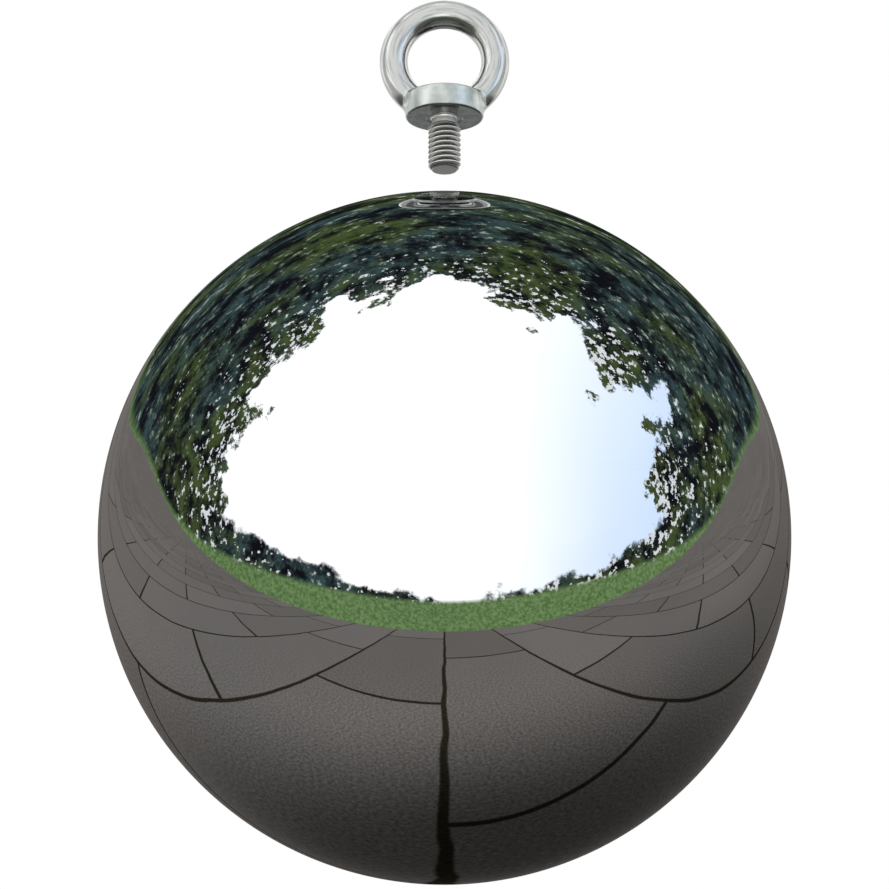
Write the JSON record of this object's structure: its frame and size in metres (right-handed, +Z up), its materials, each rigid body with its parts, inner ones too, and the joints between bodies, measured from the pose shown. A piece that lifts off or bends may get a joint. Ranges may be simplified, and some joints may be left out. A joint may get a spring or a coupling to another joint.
{
  "type": "hanging mirror ball",
  "caption": "Mirror-polished hollow steel ball with a threaded top boss and a screw-in eye bolt to hang it by.",
  "frame": {"origin": "inner crown of the eye bolt's ring, where a hook bears", "axes": "+Z up along the screw axis, +Y through the ring's hole, +X across the ring"},
  "size_m": [0.16, 0.16, 0.214],
  "materials": {
    "mirror_steel": "mirror-polished stainless steel",
    "eye_bolt_steel": "satin-polished stainless forging",
    "machined_steel": "turned stainless steel",
    "seam_weld": "weld ground flush and polished with the ball",
    "fillet_weld": "weld bead, as laid"
  },
  "bodies": {
    "eye_bolt": {"eye_bolt": "eye_bolt_steel"},
    "seam": {"equator_weld": "seam_weld"},
    "ball": {"upper_shell": "mirror_steel", "lower_shell": "mirror_steel", "threaded_boss": "machined_steel", "boss_weld": "fillet_weld"}
  },
  "joints": [
    {"name": "ball_lift", "type": "slide", "parent": "eye_bolt", "child": "seam", "axis": [0, 0, 1], "range_m": [0, 0.02344]},
    {"name": "ball_screw", "type": "hinge", "parent": "seam", "child": "ball", "pos_m": [0, 0, -0.12716], "axis": [0, 0, 1], "range_deg": [0, 6750]}
  ],
  "couplings": [
    {"joint": "ball_lift", "follows": "ball_screw", "m_per_rad": 0.00019894}
  ]
}
